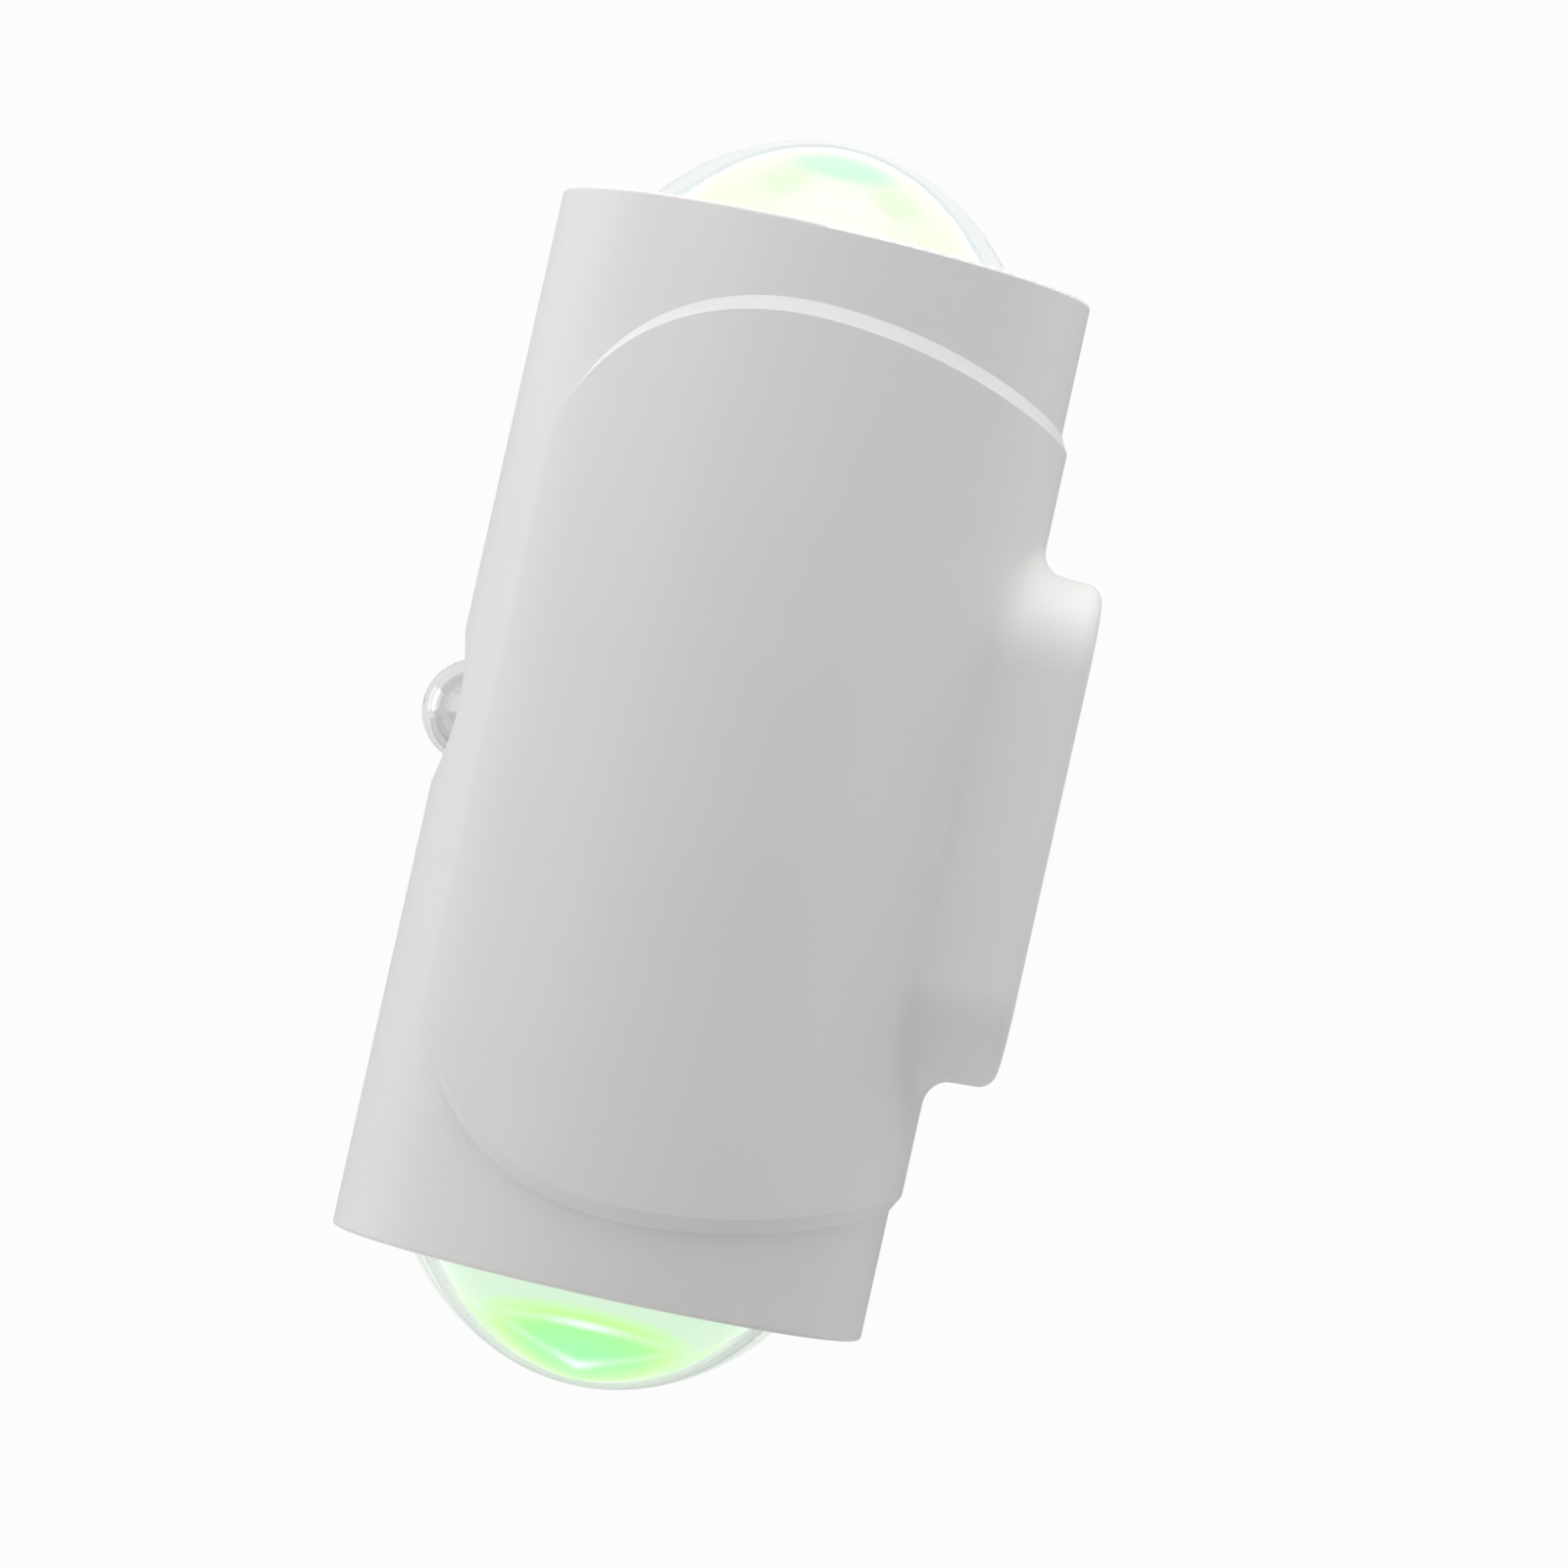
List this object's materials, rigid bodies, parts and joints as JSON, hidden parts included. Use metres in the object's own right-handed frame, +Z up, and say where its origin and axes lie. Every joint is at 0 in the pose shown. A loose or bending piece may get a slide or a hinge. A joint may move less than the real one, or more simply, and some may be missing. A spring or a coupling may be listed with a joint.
{
  "type": "up and down wall light",
  "caption": "White cylindrical wall light that shines up and down through domed glass lenses, with a small domed lens in front and a neck that plugs over a wall plate.",
  "frame": {"origin": "centre of the wall side: middle of the wall plate's back face, at half the tube's height", "axes": "+X into the wall, +Z up along the tube; the light stands out towards -X and is symmetric in Y"},
  "size_m": [0.0828, 0.072, 0.1648],
  "materials": {
    "powder_coat": "matt white powder coat on die-cast aluminium",
    "top_glass_lens": "polished pressed glass, faintly lit from within",
    "bottom_glass_lens": "polished pressed glass, faintly lit green from within",
    "front_glass": "clear moulded lens, unlit",
    "top_glow": "clear acrylic optic, lit pale yellow green",
    "bottom_glow": "clear acrylic optic, lit vivid green",
    "top_emitter": "phosphor layer on a ceramic base",
    "bottom_emitter": "resin over a ceramic base",
    "front_emitter": "small unlit light-emitting diode",
    "white_plastic": "white polycarbonate",
    "bright_reflector": "metallised plastic",
    "light_board": "white solder mask on an aluminium board",
    "clear_silicone": "translucent silicone",
    "foam_rubber": "closed-cell foam rubber",
    "black_rubber": "moulded rubber",
    "zinc_steel": "zinc-plated pressed steel",
    "plated_screw": "nickel-plated steel",
    "black_screw": "black oxide steel",
    "tinned_copper": "tinned copper",
    "black_plastic": "moulded plastic",
    "terminal_nylon": "natural nylon",
    "lead_black": "silicone insulation",
    "lead_white": "silicone insulation",
    "circuit_board": "glass-fibre board with green solder mask",
    "transformer_tape": "ferrite core with yellow polyester tape",
    "capacitor_sleeve": "shrink sleeve on an aluminium can",
    "choke_ferrite": "ferrite drum",
    "film_capacitor": "epoxy-dipped film"
  },
  "bodies": {
    "wall_side": {"wall_plate": "zinc_steel", "plate_gasket": "foam_rubber", "cable_grommet": "black_rubber", "earth_tag": "tinned_copper", "earth_screw": "plated_screw"},
    "lamp": {"back_cover": "black_plastic", "back_cover_gasket": "foam_rubber", "back_cover_screws": "plated_screw", "bottom_lead_grommet": "black_rubber", "bottom_led": "bottom_emitter", "bottom_led_board": "light_board", "bottom_led_leads": "lead_white", "bottom_led_screws": "plated_screw", "bottom_lens": "bottom_glass_lens", "bottom_lens_gasket": "clear_silicone", "bottom_lens_ring": "powder_coat", "bottom_optic": "bottom_glow", "bottom_optic_holder": "white_plastic", "driver_board": "circuit_board", "driver_bridge": "black_plastic", "driver_choke": "choke_ferrite", "driver_controller": "black_plastic", "driver_film_capacitor": "film_capacitor", "driver_input_capacitor": "capacitor_sleeve", "driver_output_capacitor": "capacitor_sleeve", "driver_screws": "plated_screw", "driver_transformer": "transformer_tape", "front_led": "front_emitter", "front_led_board": "light_board", "front_led_leads": "lead_white", "front_led_screws": "plated_screw", "front_lens": "front_glass", "front_lens_ring": "powder_coat", "front_lens_seal": "clear_silicone", "front_reflector": "bright_reflector", "housing": "powder_coat", "inlet_grommet": "black_rubber", "rim_seal": "foam_rubber", "supply_leads": "lead_black", "terminal_block": "terminal_nylon", "terminal_screws": "plated_screw", "top_lead_grommet": "black_rubber", "top_led": "top_emitter", "top_led_board": "light_board", "top_led_leads": "lead_white", "top_led_screws": "plated_screw", "top_lens": "top_glass_lens", "top_lens_gasket": "clear_silicone", "top_lens_ring": "powder_coat", "top_optic": "top_glow", "top_optic_holder": "white_plastic"},
    "top_lock": {"top_locking_screw": "black_screw"},
    "bottom_lock": {"bottom_locking_screw": "black_screw"}
  },
  "joints": [
    {"name": "lamp_pull_off", "type": "slide", "parent": "wall_side", "child": "lamp", "axis": [-1, 0, 0], "range_m": [0, 0.035]},
    {"name": "top_lock_out", "type": "slide", "parent": "lamp", "child": "top_lock", "axis": [0, 0, 1], "range_m": [0, 0.003]},
    {"name": "bottom_lock_out", "type": "slide", "parent": "lamp", "child": "bottom_lock", "axis": [0, 0, -1], "range_m": [0, 0.003]}
  ]
}
